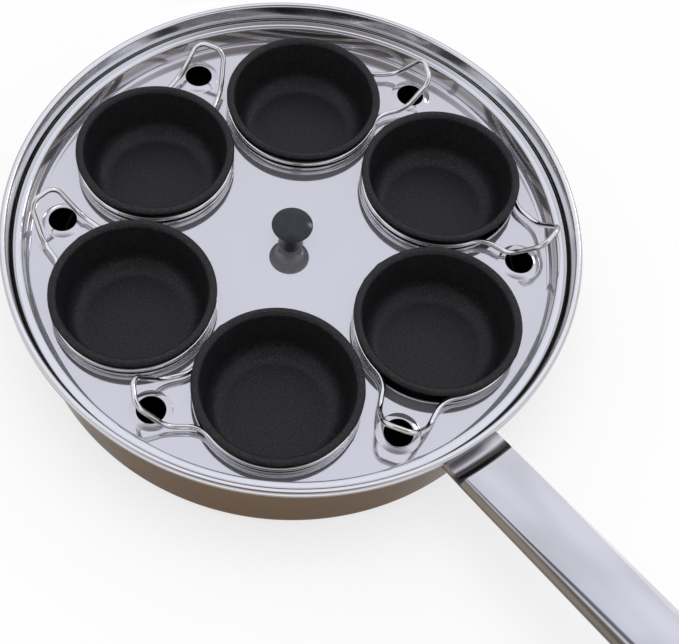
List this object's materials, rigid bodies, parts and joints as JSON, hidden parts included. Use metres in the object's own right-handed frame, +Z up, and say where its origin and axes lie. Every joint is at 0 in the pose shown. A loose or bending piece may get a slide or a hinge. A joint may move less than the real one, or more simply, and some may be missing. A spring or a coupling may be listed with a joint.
{
  "type": "egg poacher pan",
  "caption": "Round pan with a rolled lip and long hollow handle, a lift-out tray with wells and steam holes, and cups that lift out by wire loops.",
  "frame": {"origin": "middle of the flat underside of the base", "axes": "+Z up along the pan's axis, +X along the long handle"},
  "size_m": [0.445, 0.26, 0.0905],
  "materials": {
    "pan_steel": "polished outside, satin floor",
    "base_steel": "brushed",
    "core_aluminium": "plain",
    "tray_steel": "mirror polished",
    "handle_steel": "satin",
    "bracket_steel": "plain",
    "knob_black": "gloss",
    "screw_steel": "plain",
    "insert_brass": "plain",
    "cup_black": "matte non-stick coating",
    "wire_steel": "polished"
  },
  "bodies": {
    "pan": {"pan_shell": "pan_steel", "base_core": "core_aluminium", "base_cap": "base_steel", "handle_bracket": "bracket_steel", "handle_upper_shell": "handle_steel", "handle_lower_shell": "handle_steel", "hang_eyelet": "handle_steel"},
    "tray_unit": {"tray": "tray_steel", "tray_knob": "knob_black", "knob_insert": "insert_brass", "knob_screw": "screw_steel", "knob_washer": "screw_steel"},
    "cup_unit_1": {"cup_1": "cup_black", "cup_wire_1": "wire_steel"},
    "cup_unit_2": {"cup_2": "cup_black", "cup_wire_2": "wire_steel"},
    "cup_unit_3": {"cup_3": "cup_black", "cup_wire_3": "wire_steel"},
    "cup_unit_4": {"cup_4": "cup_black", "cup_wire_4": "wire_steel"},
    "cup_unit_5": {"cup_5": "cup_black", "cup_wire_5": "wire_steel"},
    "cup_unit_6": {"cup_6": "cup_black", "cup_wire_6": "wire_steel"}
  },
  "joints": [
    {"name": "tray_lift", "type": "slide", "parent": "pan", "child": "tray_unit", "axis": [0, 0, 1], "range_m": [0, 0.045]},
    {"name": "cup_1_lift", "type": "slide", "parent": "tray_unit", "child": "cup_unit_1", "axis": [0, 0, 1], "range_m": [0, 0.04]},
    {"name": "cup_2_lift", "type": "slide", "parent": "tray_unit", "child": "cup_unit_2", "axis": [0, 0, 1], "range_m": [0, 0.04]},
    {"name": "cup_3_lift", "type": "slide", "parent": "tray_unit", "child": "cup_unit_3", "axis": [0, 0, 1], "range_m": [0, 0.04]},
    {"name": "cup_4_lift", "type": "slide", "parent": "tray_unit", "child": "cup_unit_4", "axis": [0, 0, 1], "range_m": [0, 0.04]},
    {"name": "cup_5_lift", "type": "slide", "parent": "tray_unit", "child": "cup_unit_5", "axis": [0, 0, 1], "range_m": [0, 0.04]},
    {"name": "cup_6_lift", "type": "slide", "parent": "tray_unit", "child": "cup_unit_6", "axis": [0, 0, 1], "range_m": [0, 0.04]}
  ]
}
